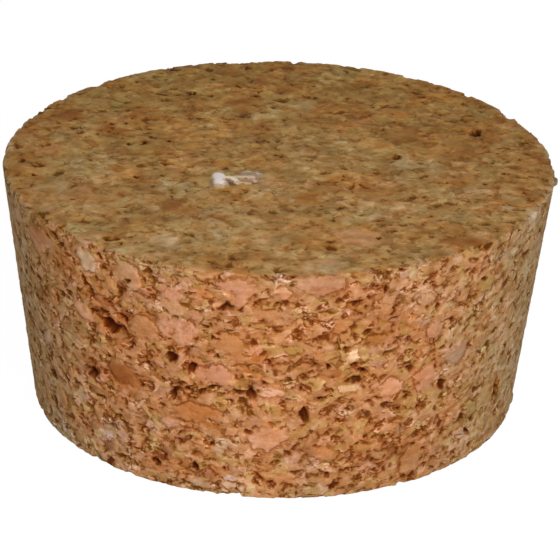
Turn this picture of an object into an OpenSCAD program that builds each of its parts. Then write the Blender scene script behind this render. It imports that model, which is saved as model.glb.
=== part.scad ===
// Tapered stopper of agglomerated cork, one solid piece: granules pressed and
// glued into a block, sliced flat on both faces and ground to a plain cone.
// It stands on its narrow face. The origin is that face's centre, +Z is up.

/* [Stopper] */
// Diameter over the rim of the wide top face
top_d = 83; // [78:0.5:120]
// Diameter over the rim of the narrow bottom face
bottom_d = 74; // [40:0.5:78]
// Height from the bottom face to the top face
height = 38; // [24:0.5:80]

/* [Rims] */
// Radius of the worn edge round the top face
top_rim_r = 0.6; // [0.3:0.1:2]
// Radius of the worn edge round the bottom face
bottom_rim_r = 0.6; // [0.3:0.1:2]

/* [Gaps between granules] */
// Spacing of the small gaps in the ground wall
wall_gap_pitch = 8; // [6.5:0.1:20]
// Length of a small gap in the ground wall
wall_gap_length = 1.9; // [0.8:0.1:3.5]
// Spacing of the small gaps in the two sliced faces
face_gap_pitch = 9.5; // [8:0.1:20]
// Length of a small gap in the sliced faces
face_gap_length = 1.3; // [0.6:0.1:3]
// Depth of a small gap
gap_depth = 0.8; // [0.3:0.1:2]
// Depth of the large gaps, where a whole granule is missing
large_gap_depth = 1.3; // [0.5:0.1:3]

/* [Large granules] */
// Spacing of the large granules whose seams stand open in the ground wall
wall_granule_pitch = 11; // [9:0.5:30]
// Spacing of those in the two sliced faces
face_granule_pitch = 15; // [12:0.5:40]
// Length of a large granule
granule_length = 5.6; // [3:0.1:8]
// Width of the open seam along one side of a large granule
seam_width = 0.4; // [0.2:0.05:0.8]
// Depth of the seam
seam_depth = 0.4; // [0.2:0.05:1]

/* [Chipped rims] */
// Spacing of the small chips round both rims
chip_pitch = 13; // [8:0.5:40]
// Length of a chip along the rim
chip_length = 2.6; // [1:0.1:5]
// Depth of a chip, square to the edge
chip_depth = 0.45; // [0.2:0.05:1]

/* [Crumbs] */
// How far the loose crumb of cork at the rim stands out of the wall
crumb_out = 0.5; // [0.2:0.05:1]
// Length of the pale fleck of fibre stuck to the top face
fleck_length = 6; // [3:0.1:9]
// Height of the fleck's blob above the top face
fleck_rise = 0.5; // [0.2:0.05:0.6]

/* [Hidden] */

$fn = 96;
cork_colour = "#b07b4b";
crumb_colour = "#8a6a48";
fleck_colour = "#e6d8bf";

// Centres of the two rim arcs, in the half section
top_c = [top_d / 2 - top_rim_r, height - top_rim_r];
bottom_c = [bottom_d / 2 - bottom_rim_r, bottom_rim_r];

// The wall is the common tangent of the two arcs, and leans out by this angle
run = top_c - bottom_c;
taper = atan2(run.x, run.y) - asin((bottom_rim_r - top_rim_r) / norm(run));
wall_out = [cos(taper), -sin(taper)];
wall_top = top_c + top_rim_r * wall_out;
wall_foot = bottom_c + bottom_rim_r * wall_out;

// What is spread by rule keeps this far from a rim, and from a face's centre
rim_margin = 2.2;
centre_margin = 4;
// Cutters run this far out of the surface they cut
proud = 1;
gap_corners = 5;
granule_corners = 6;
// Room kept round each large granule, and a distance beyond any other
granule_room = 9;
far_off = 1000;

// Large gaps in the wall: angle round the axis, share of the height, length,
// width, and turn of the length from the way down the wall
large_wall_gaps = [
    [233.5, 0.67, 4.6, 2.8, 75],
    [228.5, 0.80, 5.2, 1.2, 36],
    [227, 0.42, 3.6, 2.0, 80],
    [248.5, 0.60, 2.6, 1.9, 100],
    [253, 0.57, 2.2, 1.6, 10],
    [265.5, 0.48, 3.0, 1.8, 20],
    [277, 0.39, 3.4, 1.9, 20],
    [287, 0.53, 3.0, 1.3, 95],
    [309, 0.43, 2.4, 1.7, 15],
    [330.5, 0.25, 5.6, 1.6, 10],
    [323, 0.51, 2.0, 1.1, 15],
    [260.5, 0.85, 3.8, 1.1, 95],
    [211.5, 0.29, 2.2, 1.4, 80],
    [253, 0.12, 1.9, 1.4, 20],
    [243.5, 0.10, 2.2, 1.4, 50],
    [255.5, 0.47, 2.2, 0.9, 100],
    [248.5, 0.43, 2.4, 1.2, 10],
    [346, 0.62, 2.4, 1.1, 40],
    [12, 0.34, 2.8, 1.2, 70],
    [31, 0.66, 2.4, 1.3, 20],
    [58, 0.45, 2.2, 1.4, 80],
    [83, 0.71, 3.0, 1.1, 30],
    [104, 0.27, 2.0, 1.5, 65],
    [127, 0.56, 3.4, 1.1, 15],
    [149, 0.38, 2.4, 1.3, 75],
    [170, 0.69, 2.0, 1.4, 50],
    [193, 0.49, 2.6, 1.1, 25]
];

// Larger gaps in each face: angle, share of the radius, length, width, turn
large_top_gaps = [
    [22.5, 0.79, 3.2, 2.2, 60],
    [7, 0.43, 2.2, 1.6, 80],
    [174.5, 0.86, 2.0, 1.3, 70],
    [184.5, 0.93, 1.6, 1.1, 60],
    [166, 0.51, 1.9, 1.3, 85],
    [168.5, 0.56, 1.6, 1.0, 60],
    [159, 0.50, 1.5, 1.1, 30],
    [160, 0.43, 1.3, 0.9, 20],
    [118.5, 0.71, 1.8, 1.3, 80],
    [114, 0.66, 1.4, 1.0, 40],
    [99, 0.62, 1.6, 1.1, 70],
    [79.5, 0.63, 1.8, 1.2, 85],
    [231, 0.93, 1.6, 1.0, 20],
    [355, 0.82, 1.5, 1.0, 70],
    [353.5, 0.87, 1.3, 0.9, 40],
    [353, 0.965, 1.6, 1.3, 60]
];
large_bottom_gaps = [
    [48, 0.62, 1.8, 1.1, 40],
    [160, 0.38, 1.6, 1.0, 75],
    [251, 0.81, 2.2, 1.2, 15]
];

// Large granules of the wall: as for the gaps above
large_wall_granules = [
    [258, 0.56, 7.0, 5.0, 100],
    [261.5, 0.69, 6.2, 5.4, 20],
    [253, 0.37, 8.6, 4.0, 100],
    [236, 0.46, 6.2, 4.6, 75],
    [296, 0.47, 4.6, 3.8, 60],
    [304, 0.47, 6.6, 5.0, 110],
    [280, 0.96, 9.0, 4.8, 90],
    [262.5, 0.94, 7.6, 3.4, 85],
    [269, 0.28, 7.0, 6.4, 120],
    [287, 0.64, 2.8, 2.4, 30],
    [291, 0.70, 4.6, 3.2, 95],
    [243, 0.70, 5.8, 4.8, 60],
    [228.5, 0.91, 5.0, 4.4, 10],
    [226, 0.67, 5.2, 3.8, 70],
    [270, 0.475, 5.2, 2.0, 95],
    [286, 0.49, 5.4, 2.2, 85],
    [274, 0.67, 3.4, 2.2, 80],
    [313, 0.54, 5.6, 4.6, 100],
    [247.5, 0.29, 4.0, 2.6, 85],
    [282, 0.20, 5.4, 3.2, 85],
    [305, 0.69, 4.6, 3.4, 110],
    [320.5, 0.25, 5.2, 3.4, 60],
    [239.5, 0.93, 7.0, 4.6, 80],
    [272, 0.93, 3.2, 2.8, 20]
];

// Large granules of the top face: as for its gaps
large_top_granules = [
    [229, 0.56, 6.4, 4.6, 40],
    [191, 0.21, 4.4, 3.6, 80],
    [106, 0.54, 9.0, 8.0, 60],
    [80, 0.55, 6.4, 5.6, 0],
    [155, 0.88, 7.0, 4.6, 70],
    [172, 0.50, 6.6, 6.0, 20],
    [201, 0.86, 8.6, 7.0, 60],
    [242, 0.83, 6.4, 5.6, 10],
    [293, 0.72, 9.0, 7.0, 30],
    [313, 0.93, 8.4, 5.4, 50],
    [282, 0.93, 6.6, 4.2, 90],
    [30, 0.52, 8.0, 5.6, 40]
];

// Larger chips: angle round the axis, length along the rim, and depth
large_top_chips = [
    [29.5, 3.4, 0.8],
    [59, 2.6, 0.5],
    [83.5, 3.0, 0.6],
    [154, 3.2, 0.6],
    [164.5, 2.4, 0.5],
    [283, 3.6, 0.4],
    [269, 3.2, 0.7],
    [232, 3.4, 0.7],
    [245, 2.8, 0.6],
    [292, 2.8, 0.6],
    [222, 2.6, 0.6],
    [303, 2.4, 0.5]
];
large_bottom_chips = [
    [198.5, 2.8, 0.5],
    [262, 3.4, 0.7],
    [301.5, 2.8, 0.5],
    [112, 3.0, 0.6]
];

// Crumbs that stand out of the wall: angle, share of the height, length,
// width, and a share of crumb_out
crumbs = [
    [355.5, 0.97, 1.9, 1.8, 1],
    [350.5, 0.05, 2.4, 2.0, 0.5]
];

// The fleck's place on the top face: angle and share of the radius
fleck_place = [223.5, 0.29];
// The fleck's blob, and then its strands. In shares of its length: one end's
// place, the other end's place, half the width. Then a share of its rise
fleck_strands = [
    [[-0.03, 0.20], [0.03, -0.24], 0.21, 1],
    [[0.16, 0.10], [0.33, 0.10], 0.09, 0.6],
    [[0.33, 0.10], [0.46, -0.18], 0.10, 0.6],
    [[0.46, -0.18], [0.74, -0.22], 0.08, 0.5],
    [[0.39, 0.16], [0.80, 0.20], 0.10, 0.5],
    [[0.62, 0.50], [0.88, 0.42], 0.10, 0.4]
];

function part_of_one(x) = x - floor(x);

// A number from 0 to 1 that differs from gap to gap, the same at every build
function chance(i, k) = part_of_one(437.5 * abs(sin(47.3 * i + 131.7 * k + 12.9)));
function between(low, high, i, k) = low + (high - low) * chance(i, k);

// Two series that spread points evenly over a surface, however many there are
function spread_u(i) = part_of_one(0.5 + 0.7548776662 * i);
function spread_v(i) = part_of_one(0.5 + 0.5698402910 * i);

function wall_r(z) = wall_foot.x + (z - wall_foot.y) * tan(taper);
function turn_between(a, b) = abs(part_of_one((a - b) / 360 + 0.5) - 0.5) * 360;

// The distance from a place to the nearest one of a list, over the surface.
// r is the radius there, and reach is what a share of 1 stands for
function distance_to(list, angle, share, r, reach) =
    min([far_off, for (g = list)
        norm([turn_between(angle, g[0]) * PI / 180 * r, (share - g[1]) * reach])]);

// An uneven outline with a few straight sides, as granules leave
function outline(i, corners, length, width) = [
    for (k = [0 : corners - 1])
        let (turn = 360 / corners * (k + between(0, 0.6, i, k)))
        let (reach = between(0.65, 1, i, k + 10))
            [0.5 * length * reach * cos(turn), 0.5 * width * reach * sin(turn)]
];

// A place on the wall, with +Z out of the surface and +X down the wall
module on_wall(angle, z) {
    rotate([0, 0, angle])
        translate([wall_r(z), 0, z])
            rotate([0, 90 + taper, 0])
                children();
}

// A place on a face, with +X away from the axis
module on_face(angle, distance) {
    rotate([0, 0, angle])
        translate([distance, 0, 0])
            children();
}

// A place on a rim's edge, with +Z out of the edge and +Y along the rim
module on_rim(angle, centre, r, lift) {
    rotate([0, 0, angle])
        translate([centre.x, 0, centre.y])
            rotate([0, 90 - lift, 0])
                translate([0, 0, r])
                    children();
}

// The cutter of one gap, which leans a little so that its floor slopes
module gap_cutter(i, length, width, depth, turn) {
    rotate([0, 0, turn])
        rotate([between(-14, 14, i, 20), between(-14, 14, i, 21), 0])
            translate([0, 0, -depth])
                linear_extrude(height = depth + proud)
                    polygon(outline(i, gap_corners, length, width));
}

// The cutter of the open seam along one side of a granule: a thin crescent
// between the granule's outline and the same outline moved aside
module seam_cutter(i, length, width, turn) {
    aside = between(0, 360, i, 22);
    rotate([0, 0, turn])
        translate([0, 0, -seam_depth])
            linear_extrude(height = seam_depth + proud)
                difference() {
                    polygon(outline(i, granule_corners, length, width));
                    translate(seam_width * [cos(aside), sin(aside)])
                        polygon(outline(i, granule_corners, length, width));
                }
}

module small_wall_gaps() {
    low = rim_margin;
    high = height - rim_margin;
    area = PI * (top_d + bottom_d) / 2 * (high - low) / cos(taper);
    for (i = [1 : round(area / pow(wall_gap_pitch, 2))]) {
        angle = 360 * spread_u(i);
        z = low + (high - low) * spread_v(i);
        length = wall_gap_length * between(0.6, 1.4, i, 1);
        width = length * between(0.35, 0.65, i, 2);
        if (distance_to(large_wall_gaps, angle, z / height, wall_r(z), height) > 3.2)
            on_wall(angle, z)
                gap_cutter(i, length, width, gap_depth * between(0.7, 1.3, i, 3),
                           between(0, 180, i, 4));
    }
}

module large_wall_gap_cutters() {
    for (i = [0 : len(large_wall_gaps) - 1]) {
        g = large_wall_gaps[i];
        on_wall(g[0], g[1] * height)
            gap_cutter(500 + i, g[2], g[3], large_gap_depth, g[4]);
    }
}

module wall_seams() {
    for (i = [0 : len(large_wall_granules) - 1]) {
        g = large_wall_granules[i];
        on_wall(g[0], g[1] * height)
            seam_cutter(1000 + i, g[2], g[3], g[4]);
    }
    low = 0.6 * granule_length;
    high = height - low;
    area = PI * (top_d + bottom_d) / 2 * (high - low) / cos(taper);
    for (i = [1 : round(area / pow(wall_granule_pitch, 2))]) {
        angle = 360 * spread_v(i);
        z = low + (high - low) * spread_u(i);
        length = granule_length * between(0.6, 1.2, i, 31);
        width = length * between(0.45, 0.8, i, 32);
        if (distance_to(large_wall_granules, angle, z / height, wall_r(z), height) > granule_room)
            on_wall(angle, z)
                seam_cutter(1100 + i, length, width, between(0, 180, i, 33));
    }
}

// The gaps in a sliced face of radius r. first keeps the two faces unlike
module face_gaps(r, first, large) {
    reach = r - rim_margin;
    for (i = [0 : len(large) - 1]) {
        g = large[i];
        on_face(g[0], g[1] * r)
            gap_cutter(first + i, g[2], g[3], large_gap_depth, g[4]);
    }
    for (i = [1 : round(PI * reach * reach / pow(face_gap_pitch, 2))]) {
        angle = 360 * spread_v(first + i);
        distance = sqrt(pow(centre_margin, 2)
                        + (pow(reach, 2) - pow(centre_margin, 2)) * spread_u(first + i));
        length = face_gap_length * between(0.6, 1.4, first + i, 5);
        width = length * between(0.45, 0.75, first + i, 6);
        if (distance_to(large, angle, distance / r, distance, r) > 2.6)
            on_face(angle, distance)
                gap_cutter(first + i, length, width,
                           gap_depth * between(0.5, 1, first + i, 7),
                           between(0, 180, first + i, 8));
    }
}

module face_seams(r, first, large) {
    for (i = [0 : 1 : len(large) - 1]) {
        g = large[i];
        on_face(g[0], g[1] * r)
            seam_cutter(first + 60 + i, g[2], g[3], g[4]);
    }
    inner = centre_margin + 0.5 * granule_length;
    outer = r - 0.8 * granule_length;
    for (i = [1 : round(PI * outer * outer / pow(face_granule_pitch, 2))]) {
        angle = 360 * spread_u(first + i);
        distance = sqrt(pow(inner, 2)
                        + (pow(outer, 2) - pow(inner, 2)) * spread_v(first + i));
        length = granule_length * between(0.6, 1.2, first + i, 31);
        if (distance_to(large, angle, distance / r, distance, r) > granule_room)
            on_face(angle, distance)
                seam_cutter(first + i, length, length * between(0.45, 0.8, first + i, 32),
                            between(0, 180, first + i, 33));
    }
}

// Chips round one rim: the larger ones, and small ones evenly between them
module rim_chips(centre, r, lift, large, first) {
    for (i = [0 : len(large) - 1])
        on_rim(large[i][0], centre, r, lift)
            gap_cutter(first + 50 + i, large[i][2] * 4, large[i][1], large[i][2], 0);
    count = round(2 * PI * centre.x / chip_pitch);
    for (i = [0 : count - 1]) {
        angle = 360 / count * (i + between(-0.3, 0.3, first + i, 1));
        nearest = min([for (c = large) turn_between(angle, c[0])]) * PI / 180 * centre.x;
        length = chip_length * between(0.6, 1.3, first + i, 2);
        depth = chip_depth * between(0.4, 1, first + i, 3);
        if (nearest > 0.5 * (length + 4))
            on_rim(angle, centre, r, lift)
                gap_cutter(first + i, depth * 4, length, depth, 0);
    }
}

module gaps_seams_and_chips() {
    small_wall_gaps();
    large_wall_gap_cutters();
    wall_seams();
    translate([0, 0, height]) {
        face_gaps(top_d / 2, 300, large_top_gaps);
        face_seams(top_d / 2, 300, large_top_granules);
    }
    mirror([0, 0, 1]) {
        face_gaps(bottom_d / 2, 400, large_bottom_gaps);
        face_seams(bottom_d / 2, 400, []);
    }
    rim_chips(top_c, top_rim_r, 45, large_top_chips, 700);
    rim_chips(bottom_c, bottom_rim_r, -45, large_bottom_chips, 800);
}

// Half section of the ground body: straight wall, flat faces, round rims
module half_section() {
    polygon([[0, 0], [bottom_c.x, 0], wall_foot, wall_top, [top_c.x, height], [0, height]]);
    translate(bottom_c)
        circle(r = bottom_rim_r);
    translate(top_c)
        circle(r = top_rim_r);
}

module wall_crumbs() {
    sunk = 1;
    for (i = [0 : len(crumbs) - 1]) {
        c = crumbs[i];
        on_wall(c[0], c[1] * height)
            translate([0, 0, -sunk])
                linear_extrude(height = sunk + c[4] * crumb_out)
                    polygon(outline(900 + i, gap_corners, c[2], c[3]));
    }
}

// One strand of fibre, partly sunk in the face: a rod with round ends, from a to b
module fleck_strand(a, b, half_width, rise) {
    r = (half_width * half_width + rise * rise) / (2 * rise);
    along = b - a;
    length = norm(along);
    translate([a.x, a.y, rise - r])
        rotate([0, 90, atan2(along.y, along.x)])
            rotate_extrude()
                intersection() {
                    translate([0, -r])
                        square([r, length + 2 * r]);
                    union() {
                        circle(r = r);
                        translate([0, length])
                            circle(r = r);
                        square([r, length]);
                    }
                }
}

// A pale fleck of fibre on the top face: a blob with strands that trail off it
module pale_fleck() {
    translate([0, 0, height])
        on_face(fleck_place[0], fleck_place[1] * top_d / 2)
            rotate([0, 0, -fleck_place[0]])
                for (s = fleck_strands)
                    fleck_strand(fleck_length * s[0], fleck_length * s[1],
                                 fleck_length * s[2], fleck_rise * s[3]);
}

module stopper() {
    color(cork_colour)
        difference() {
            rotate_extrude()
                half_section();
            gaps_seams_and_chips();
        }
    color(crumb_colour)
        wall_crumbs();
    color(fleck_colour)
        pale_fleck();
}

stopper();
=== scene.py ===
"""A tapered stopper of agglomerated cork on a pale floor.

The cork is one closed mesh. It is laid out on the ideal solid, then cut, chipped and given the relief of its
granules. The same nodes that work out the granules' relief also colour them, so shape and colour agree.
Lengths are in millimetres until a mesh is written, which is in metres.
"""
import math
from functools import partialmethod

import bpy
import numpy as np
from mathutils import Matrix, Vector


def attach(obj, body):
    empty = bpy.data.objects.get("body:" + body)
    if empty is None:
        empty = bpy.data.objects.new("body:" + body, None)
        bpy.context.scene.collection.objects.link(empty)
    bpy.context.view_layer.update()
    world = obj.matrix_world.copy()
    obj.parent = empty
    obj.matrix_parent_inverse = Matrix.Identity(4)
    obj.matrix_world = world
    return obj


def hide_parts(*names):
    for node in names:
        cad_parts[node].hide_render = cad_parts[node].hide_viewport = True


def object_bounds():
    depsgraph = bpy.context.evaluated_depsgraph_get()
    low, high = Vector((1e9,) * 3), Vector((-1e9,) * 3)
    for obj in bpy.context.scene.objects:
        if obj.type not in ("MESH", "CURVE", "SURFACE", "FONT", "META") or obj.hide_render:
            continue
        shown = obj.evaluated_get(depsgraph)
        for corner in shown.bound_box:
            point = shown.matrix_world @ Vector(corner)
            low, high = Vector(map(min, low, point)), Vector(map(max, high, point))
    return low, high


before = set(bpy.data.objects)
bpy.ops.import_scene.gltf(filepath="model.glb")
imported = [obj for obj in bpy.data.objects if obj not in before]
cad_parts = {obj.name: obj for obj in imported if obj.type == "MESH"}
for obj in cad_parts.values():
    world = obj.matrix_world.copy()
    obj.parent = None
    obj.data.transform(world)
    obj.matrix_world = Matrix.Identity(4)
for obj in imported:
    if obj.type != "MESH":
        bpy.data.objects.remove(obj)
cad_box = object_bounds()

MM = 0.001

# -------------------- sizes, as in the part's source
TOP_D = 83.0
BOTTOM_D = 74.0
HEIGHT = 38.0
TOP_RIM_R = 0.6
BOTTOM_RIM_R = 0.6
WALL_GAP_PITCH = 8.0
WALL_GAP_LENGTH = 1.9
FACE_GAP_PITCH = 9.5
FACE_GAP_LENGTH = 1.3
GAP_DEPTH = 0.8
LARGE_GAP_DEPTH = 1.3
WALL_GRANULE_PITCH = 11.0
FACE_GRANULE_PITCH = 15.0
GRANULE_LENGTH = 5.6
SEAM_WIDTH = 0.4
CHIP_PITCH = 13.0
CHIP_LENGTH = 2.6
CHIP_DEPTH = 0.45
CRUMB_OUT = 0.5
RIM_MARGIN = 2.2
CENTRE_MARGIN = 4.0
GAP_CORNERS = 5
GRANULE_CORNERS = 6

# Large gaps in the wall: angle, share of the height, length, width, turn from the way down the wall
LARGE_WALL_GAPS = [
    (233.5, 0.67, 4.6, 2.8, 75), (228.5, 0.80, 5.2, 1.2, 36), (227, 0.42, 3.6, 2.0, 80),
    (248.5, 0.60, 2.6, 1.9, 100), (253, 0.57, 2.2, 1.6, 10), (265.5, 0.48, 3.0, 1.8, 20),
    (277, 0.39, 3.4, 1.9, 20), (287, 0.53, 3.0, 1.3, 95), (309, 0.43, 2.4, 1.7, 15),
    (330.5, 0.25, 5.6, 1.6, 10), (323, 0.51, 2.0, 1.1, 15), (260.5, 0.85, 3.8, 1.1, 95),
    (211.5, 0.29, 2.2, 1.4, 80), (253, 0.12, 1.9, 1.4, 20), (243.5, 0.10, 2.2, 1.4, 50),
    (255.5, 0.47, 2.2, 0.9, 100), (248.5, 0.43, 2.4, 1.2, 10), (346, 0.62, 2.4, 1.1, 40),
    (12, 0.34, 2.8, 1.2, 70), (31, 0.66, 2.4, 1.3, 20), (58, 0.45, 2.2, 1.4, 80),
    (83, 0.71, 3.0, 1.1, 30), (104, 0.27, 2.0, 1.5, 65), (127, 0.56, 3.4, 1.1, 15),
    (149, 0.38, 2.4, 1.3, 75), (170, 0.69, 2.0, 1.4, 50), (193, 0.49, 2.6, 1.1, 25),
]
# Larger gaps in each face: angle, share of the radius, length, width, turn
LARGE_TOP_GAPS = [
    (22.5, 0.79, 3.2, 2.2, 60), (7, 0.43, 2.2, 1.6, 80), (174.5, 0.86, 2.0, 1.3, 70),
    (184.5, 0.93, 1.6, 1.1, 60), (166, 0.51, 1.9, 1.3, 85), (168.5, 0.56, 1.6, 1.0, 60),
    (159, 0.50, 1.5, 1.1, 30), (160, 0.43, 1.3, 0.9, 20), (118.5, 0.71, 1.8, 1.3, 80),
    (114, 0.66, 1.4, 1.0, 40), (99, 0.62, 1.6, 1.1, 70), (79.5, 0.63, 1.8, 1.2, 85),
    (231, 0.93, 1.6, 1.0, 20), (355, 0.82, 1.5, 1.0, 70), (353.5, 0.87, 1.3, 0.9, 40),
    (353, 0.965, 1.6, 1.3, 60),
]
LARGE_BOTTOM_GAPS = [
    (48, 0.62, 1.8, 1.1, 40), (160, 0.38, 1.6, 1.0, 75), (251, 0.81, 2.2, 1.2, 15),
]
# Large granules of the wall: as for the gaps, and the tone of each one
LARGE_WALL_GRANULES = [
    (258, 0.56, 7.0, 5.0, 100, "pink"), (261.5, 0.69, 6.2, 5.4, 20, "orange_tan"),
    (253, 0.37, 8.6, 4.0, 100, "orange_brown"), (236, 0.46, 6.2, 4.6, 75, "brown"),
    (296, 0.47, 4.6, 3.8, 60, "salmon"), (304, 0.47, 6.6, 5.0, 110, "pink"),
    (280, 0.96, 9.0, 4.8, 90, "pink"), (262.5, 0.94, 7.6, 3.4, 85, "pink"),
    (269, 0.28, 7.0, 6.4, 120, "salmon"), (287, 0.64, 2.8, 2.4, 30, "cream"),
    (291, 0.70, 4.6, 3.2, 95, "ochre"), (243, 0.70, 5.8, 4.8, 60, "orange_tan"),
    (228.5, 0.91, 5.0, 4.4, 10, "grey"), (226, 0.67, 5.2, 3.8, 70, "salmon"),
    (270, 0.475, 5.2, 2.0, 95, "salmon"), (286, 0.49, 5.4, 2.2, 85, "cream"),
    (274, 0.67, 3.4, 2.2, 80, "olive"), (313, 0.54, 5.6, 4.6, 100, "lilac"),
    (247.5, 0.29, 4.0, 2.6, 85, "pink"), (282, 0.20, 5.4, 3.2, 85, "orange_tan"),
    (305, 0.69, 4.6, 3.4, 110, "pink"), (320.5, 0.25, 5.2, 3.4, 60, "olive"),
    (239.5, 0.93, 7.0, 4.6, 80, "tan"), (272, 0.93, 3.2, 2.8, 20, "salmon"),
]
# Large granules of the top face: angle, share of the radius, and as above
LARGE_TOP_GRANULES = [
    (229, 0.56, 6.4, 4.6, 40, "red_brown"), (191, 0.21, 4.4, 3.6, 80, "ochre"),
    (106, 0.54, 9.0, 8.0, 60, "orange_brown"), (80, 0.55, 6.4, 5.6, 0, "grey"),
    (155, 0.88, 7.0, 4.6, 70, "red_brown"), (172, 0.50, 6.6, 6.0, 20, "olive"),
    (201, 0.86, 8.6, 7.0, 60, "grey"), (242, 0.83, 6.4, 5.6, 10, "cream"),
    (293, 0.72, 9.0, 7.0, 30, "pink"), (313, 0.93, 8.4, 5.4, 50, "red_brown"),
    (282, 0.93, 6.6, 4.2, 90, "lilac"), (30, 0.52, 8.0, 5.6, 40, "brown"),
]
# Patches of the wall and the top face where the bark was paler or darker, and more olive or redder:
# angle, share of the height or the radius, reach, how pale, how olive
WALL_PATCHES = [
    (240, 0.98, 3.2, 0.5, 1.0), (249, 0.97, 2.6, 0.5, 1.0), (232.5, 0.13, 3.4, 1.5, 1.5),
    (263, 0.04, 3.0, 1.5, 1.0), (301, 0.9, 3.2, 1.0, 0.5), (223.5, 0.3, 2.8, 1.0, 0.5),
    (320.5, 0.08, 3.0, 1.0, 0.5), (262.5, 0.25, 2.6, 1.0, 0.5), (245, 0.23, 2.8, 1.0, 0.5),
    (213, 0.05, 3.4, 1.0, 1.5), (224.5, 0.04, 3.0, 0.5, 1.0), (280.5, 0.12, 3.0, 0.5, 1.0),
    (329.5, 0.4, 3.0, 0.5, 1.0), (234, 0.66, 3.0, -0.5, -1.5), (236, 0.43, 2.6, -1.0, -1.0),
    (212, 0.97, 3.0, -1.0, 0.0), (222, 0.88, 3.0, -1.0, 0.0), (216, 0.65, 3.4, -0.5, -1.0),
    (226.5, 0.42, 2.4, -1.0, 0.0), (266.5, 0.59, 3.0, -1.0, -1.5), (293, 0.78, 3.2, -1.0, 0.0),
    (302.5, 0.16, 3.0, -1.0, 0.0), (329.5, 0.27, 2.8, -0.5, -1.0), (279.5, 0.26, 2.6, 0.0, -0.5),
    (280, 0.96, 2.6, -1.0, 0.0), (288, 0.92, 2.6, -1.0, -0.5), (304, 0.96, 2.6, -1.0, 0.0),
    (287, 0.64, 1.6, 1.5, 0.0), (228.5, 0.91, 2.2, 2.0, 0.0), (270, 0.475, 2.0, 1.5, -0.5),
]
TOP_PATCHES = [
    (334, 0.95, 3.4, 1.0, 1.5), (199, 0.65, 3.4, 0.5, 1.0), (168, 0.76, 3.4, 0.5, 0.5),
    (337, 0.13, 3.4, 1.0, 0.5), (80, 0.23, 3.2, 1.0, 0.5), (71, 0.96, 3.4, 1.0, 1.0),
    (82, 0.78, 3.2, 1.0, 1.0), (241, 0.88, 3.4, 0.5, 0.5), (22, 0.79, 3.4, -1.0, -0.5),
    (185, 0.93, 3.4, -1.0, -1.0), (153, 0.9, 3.2, -0.5, -0.5), (230, 0.57, 3.0, -0.5, -0.5),
    (102, 0.78, 3.2, -0.5, -0.5), (140, 0.68, 3.2, -0.5, -0.5), (67, 0.6, 3.2, -0.5, -1.0),
    (279, 0.77, 3.2, -0.5, -1.0), (324, 0.45, 3.4, -1.0, -0.5), (351, 0.88, 3.4, -0.5, -1.0),
    (172, 0.48, 3.4, -1.0, -0.5),
]
# Larger chips: angle, length along the rim, depth
LARGE_TOP_CHIPS = [
    (29.5, 3.4, 0.8), (59, 2.6, 0.5), (83.5, 3.0, 0.6), (154, 3.2, 0.6), (164.5, 2.4, 0.5), (283, 3.6, 0.4),
    (269, 3.2, 0.7), (232, 3.4, 0.7), (245, 2.8, 0.6), (292, 2.8, 0.6), (222, 2.6, 0.6), (303, 2.4, 0.5),
]
LARGE_BOTTOM_CHIPS = [(198.5, 2.8, 0.5), (262, 3.4, 0.7), (301.5, 2.8, 0.5), (112, 3.0, 0.6)]
# Crumbs that stand out of the wall: angle, share of the height, length, width, share of CRUMB_OUT
CRUMBS = [(355.5, 0.97, 1.9, 1.8, 1.0), (350.5, 0.05, 2.4, 2.0, 0.5)]
# The pale fleck's place on the top face: angle and share of the radius
FLECK_PLACE = (223.5, 0.29)
FLECK_LENGTH = 6.0
FLECK_RISE = 0.5
# Its blob and then its strands: two ends and half the width in shares of its length, and a share of its rise
FLECK_STRANDS = [
    ((-0.03, 0.20), (0.03, -0.24), 0.21, 1), ((0.16, 0.10), (0.33, 0.10), 0.09, 0.6),
    ((0.33, 0.10), (0.46, -0.18), 0.10, 0.6), ((0.46, -0.18), (0.74, -0.22), 0.08, 0.5),
    ((0.39, 0.16), (0.80, 0.20), 0.10, 0.5), ((0.62, 0.50), (0.88, 0.42), 0.10, 0.4),
]
# Room kept round each large gap, each large chip and each large granule
WALL_GAP_ROOM = 3.2
FACE_GAP_ROOM = 2.6
CHIP_ROOM = 4
GRANULE_ROOM = 9.0

# -------------------- the ideal solid's section
TOP_C = np.array([TOP_D / 2 - TOP_RIM_R, HEIGHT - TOP_RIM_R])
BOTTOM_C = np.array([BOTTOM_D / 2 - BOTTOM_RIM_R, BOTTOM_RIM_R])
RUN = TOP_C - BOTTOM_C
TAPER = math.atan2(RUN[0], RUN[1]) - math.asin((BOTTOM_RIM_R - TOP_RIM_R) / math.hypot(*RUN))
WALL_OUT = np.array([math.cos(TAPER), -math.sin(TAPER)])
WALL_TOP = TOP_C + TOP_RIM_R * WALL_OUT
WALL_FOOT = BOTTOM_C + BOTTOM_RIM_R * WALL_OUT
FLECK_AT = FLECK_PLACE[1] * TOP_D / 2 * np.array([math.cos(math.radians(FLECK_PLACE[0])),
                                                  math.sin(math.radians(FLECK_PLACE[0]))])


def wall_r(z):
    return WALL_FOOT[0] + (z - WALL_FOOT[1]) * math.tan(TAPER)


# -------------------- the source's rules for uneven places
def chance(i, k):
    """A repeatable number from 0 to 1. Each list of places counts i from a number of its own."""
    return math.modf(437.5 * abs(math.sin(math.radians(47.3 * i + 131.7 * k + 12.9))))[0]


def between(low, high, i, k):
    return low + (high - low) * chance(i, k)


# Two even series. Their steps are the inverse of the plastic number, and its square
def spread_u(i):
    return (0.5 + 0.7548776662 * i) % 1.0


def spread_v(i):
    return (0.5 + 0.5698402910 * i) % 1.0


def turn_between(a, b):
    """The smaller turn from one angle to another, in degrees."""
    return abs(((a - b) / 360 + 0.5) % 1.0 - 0.5) * 360


def distance_to(places, angle, share, r, reach):
    """Distance to the nearest of the listed places. reach is the length that a share is a share of."""
    apart = [math.hypot(math.radians(turn_between(angle, g[0])) * r, (share - g[1]) * reach) for g in places]
    return min(apart, default=1000)


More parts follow.
